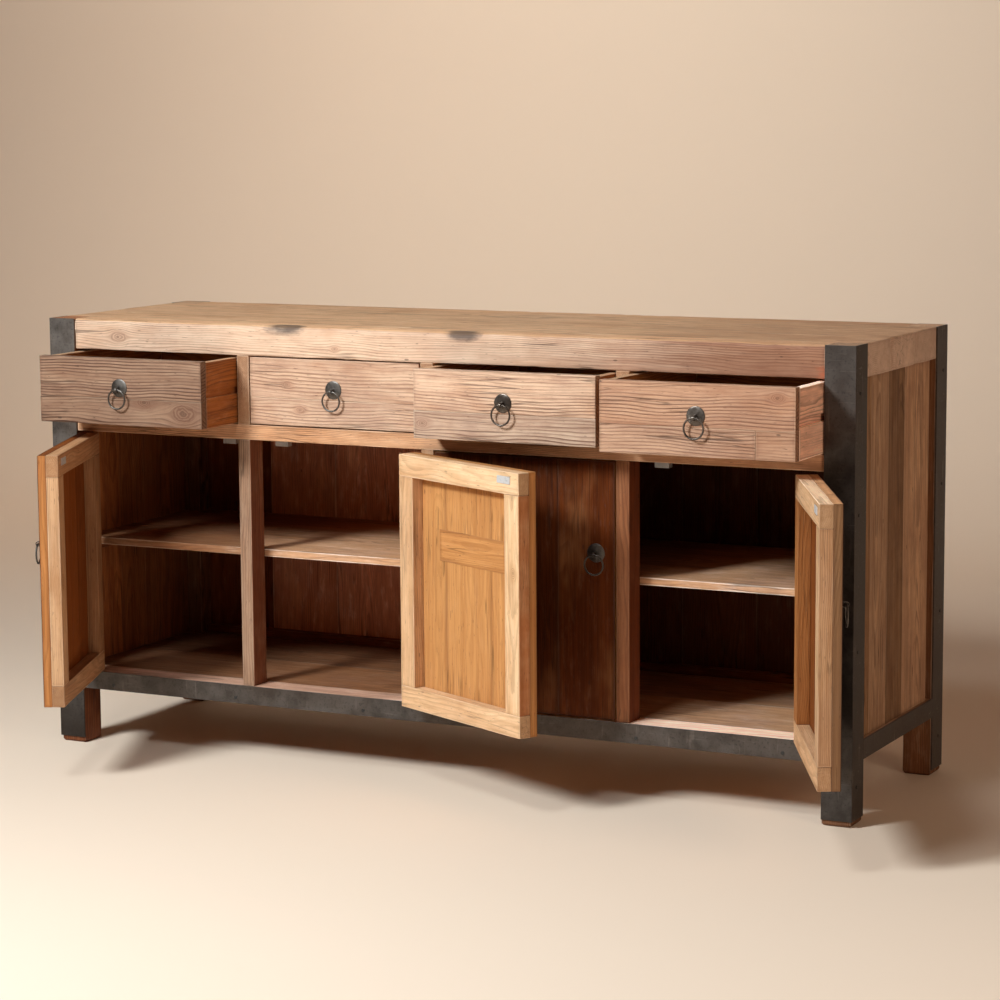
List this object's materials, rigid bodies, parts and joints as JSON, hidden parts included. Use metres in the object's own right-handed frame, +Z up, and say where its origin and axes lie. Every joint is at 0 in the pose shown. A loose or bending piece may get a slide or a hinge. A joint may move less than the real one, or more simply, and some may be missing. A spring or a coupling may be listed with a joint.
{
  "type": "sideboard buffet",
  "caption": "Long reclaimed-timber sideboard with drawers above panelled doors, steel-angled legs, an inside shelf and ring pulls.",
  "frame": {"origin": "on the floor, at the centre of the carcass footprint between the four feet", "axes": "+X along the front towards the right end, -Y is the front that the doors and drawers open towards, +Z up"},
  "size_m": [1.8883, 0.9037, 0.9],
  "materials": {
    "top_pine": "worn waxed reclaimed pine",
    "leg_pine": "rough sawn reclaimed pine",
    "blackened_steel": "blackened, waxed, scratched",
    "carcass_pine": "stained pine, matt",
    "shelf_pine": "planed pine, matt",
    "frame_pine": "reclaimed pine, worn edges",
    "panel_pine": "reclaimed pine planks",
    "drawer_front_pine": "reclaimed pine, raised grain",
    "drawer_case_pine": "planed pine, matt",
    "door_plank_pine": "reclaimed pine, waxed",
    "door_frame_pine": "pale planed pine, waxed",
    "hinge_steel": "dulled steel",
    "zinc_plate": "zinc plated",
    "aged_iron": "aged, rubbed bright on edges",
    "screw_steel": "blackened"
  },
  "bodies": {
    "cabinet": {"top_planks": "top_pine", "leg_timbers": "leg_pine", "leg_angles": "blackened_steel", "base_angles": "blackened_steel", "base_bearers": "carcass_pine", "bottom_boards": "shelf_pine", "mid_rail": "frame_pine", "drawer_dividers": "frame_pine", "door_posts": "frame_pine", "centre_partition": "carcass_pine", "back_planks": "carcass_pine", "back_rails": "carcass_pine", "side_panels": "panel_pine", "shelves": "shelf_pine", "shelf_cleats": "carcass_pine", "drawer_runners": "carcass_pine", "post_hinge_leaves": "hinge_steel", "hinge_pins": "hinge_steel", "magnetic_catches": "zinc_plate", "frame_screws": "screw_steel"},
    "drawer_1": {"drawer_1_front": "drawer_front_pine", "drawer_1_case": "drawer_case_pine", "drawer_1_pull": "aged_iron"},
    "drawer_2": {"drawer_2_front": "drawer_front_pine", "drawer_2_case": "drawer_case_pine", "drawer_2_pull": "aged_iron"},
    "drawer_3": {"drawer_3_front": "drawer_front_pine", "drawer_3_case": "drawer_case_pine", "drawer_3_pull": "aged_iron"},
    "drawer_4": {"drawer_4_front": "drawer_front_pine", "drawer_4_case": "drawer_case_pine", "drawer_4_pull": "aged_iron"},
    "door_1": {"door_1_planks": "door_plank_pine", "door_1_frame": "door_frame_pine", "door_1_hinges": "hinge_steel", "door_1_strike": "zinc_plate", "door_1_pull": "aged_iron"},
    "door_2": {"door_2_planks": "door_plank_pine", "door_2_frame": "door_frame_pine", "door_2_hinges": "hinge_steel", "door_2_strike": "zinc_plate", "door_2_pull": "aged_iron"},
    "door_3": {"door_3_planks": "door_plank_pine", "door_3_frame": "door_frame_pine", "door_3_hinges": "hinge_steel", "door_3_strike": "zinc_plate", "door_3_pull": "aged_iron"},
    "door_4": {"door_4_planks": "door_plank_pine", "door_4_frame": "door_frame_pine", "door_4_hinges": "hinge_steel", "door_4_strike": "zinc_plate", "door_4_pull": "aged_iron"},
    "drawer_1_ring": {"drawer_1_ring": "aged_iron"},
    "drawer_2_ring": {"drawer_2_ring": "aged_iron"},
    "drawer_3_ring": {"drawer_3_ring": "aged_iron"},
    "drawer_4_ring": {"drawer_4_ring": "aged_iron"},
    "door_1_ring": {"door_1_ring": "aged_iron"},
    "door_2_ring": {"door_2_ring": "aged_iron"},
    "door_3_ring": {"door_3_ring": "aged_iron"},
    "door_4_ring": {"door_4_ring": "aged_iron"}
  },
  "joints": [
    {"name": "drawer_1_slide", "type": "slide", "parent": "cabinet", "child": "drawer_1", "axis": [0, -1, 0], "range_m": [-0.132, 0.188]},
    {"name": "drawer_2_slide", "type": "slide", "parent": "cabinet", "child": "drawer_2", "axis": [0, -1, 0], "range_m": [0, 0.32]},
    {"name": "drawer_3_slide", "type": "slide", "parent": "cabinet", "child": "drawer_3", "axis": [0, -1, 0], "range_m": [-0.086, 0.234]},
    {"name": "drawer_4_slide", "type": "slide", "parent": "cabinet", "child": "drawer_4", "axis": [0, -1, 0], "range_m": [-0.142, 0.178]},
    {"name": "door_1_hinge", "type": "hinge", "parent": "cabinet", "child": "door_1", "pos_m": [-0.827, -0.2685, 0.412], "axis": [0, 0, 1], "range_deg": [-97.5, 67.5]},
    {"name": "door_2_hinge", "type": "hinge", "parent": "cabinet", "child": "door_2", "pos_m": [-0.014, -0.2685, 0.412], "axis": [0, 0, 1], "range_deg": [-153.5, 11.5]},
    {"name": "door_3_hinge", "type": "hinge", "parent": "cabinet", "child": "door_3", "pos_m": [0.014, -0.2685, 0.412], "axis": [0, 0, 1], "range_deg": [-20, 0]},
    {"name": "door_4_hinge", "type": "hinge", "parent": "cabinet", "child": "door_4", "pos_m": [0.827, -0.2685, 0.412], "axis": [0, 0, 1], "range_deg": [-117, 48]},
    {"name": "drawer_1_ring_swing", "type": "hinge", "parent": "drawer_1", "child": "drawer_1_ring", "pos_m": [-0.63075, -0.403, 0.7725], "axis": [-1, 0, 0], "range_deg": [-12, 190]},
    {"name": "drawer_2_ring_swing", "type": "hinge", "parent": "drawer_2", "child": "drawer_2_ring", "pos_m": [-0.21025, -0.271, 0.7725], "axis": [-1, 0, 0], "range_deg": [-12, 190]},
    {"name": "drawer_3_ring_swing", "type": "hinge", "parent": "drawer_3", "child": "drawer_3_ring", "pos_m": [0.21025, -0.357, 0.7725], "axis": [-1, 0, 0], "range_deg": [-12, 190]},
    {"name": "drawer_4_ring_swing", "type": "hinge", "parent": "drawer_4", "child": "drawer_4_ring", "pos_m": [0.63075, -0.413, 0.7725], "axis": [-1, 0, 0], "range_deg": [-12, 190]},
    {"name": "door_1_ring_swing", "type": "hinge", "parent": "door_1", "child": "door_1_ring", "pos_m": [-0.69518, -0.59328, 0.4825], "axis": [-0.3827, 0.9239, 0], "range_deg": [-12, 190]},
    {"name": "door_2_ring_swing", "type": "hinge", "parent": "door_2", "child": "door_2_ring", "pos_m": [0.30079, -0.42265, 0.4825], "axis": [0.8949, -0.4462, 0], "range_deg": [-12, 190]},
    {"name": "door_3_ring_swing", "type": "hinge", "parent": "door_3", "child": "door_3_ring", "pos_m": [0.3645, -0.271, 0.4825], "axis": [-1, 0, 0], "range_deg": [-12, 190]},
    {"name": "door_4_ring_swing", "type": "hinge", "parent": "door_4", "child": "door_4_ring", "pos_m": [0.98835, -0.57966, 0.4825], "axis": [0.454, -0.891, 0], "range_deg": [-12, 190]}
  ]
}
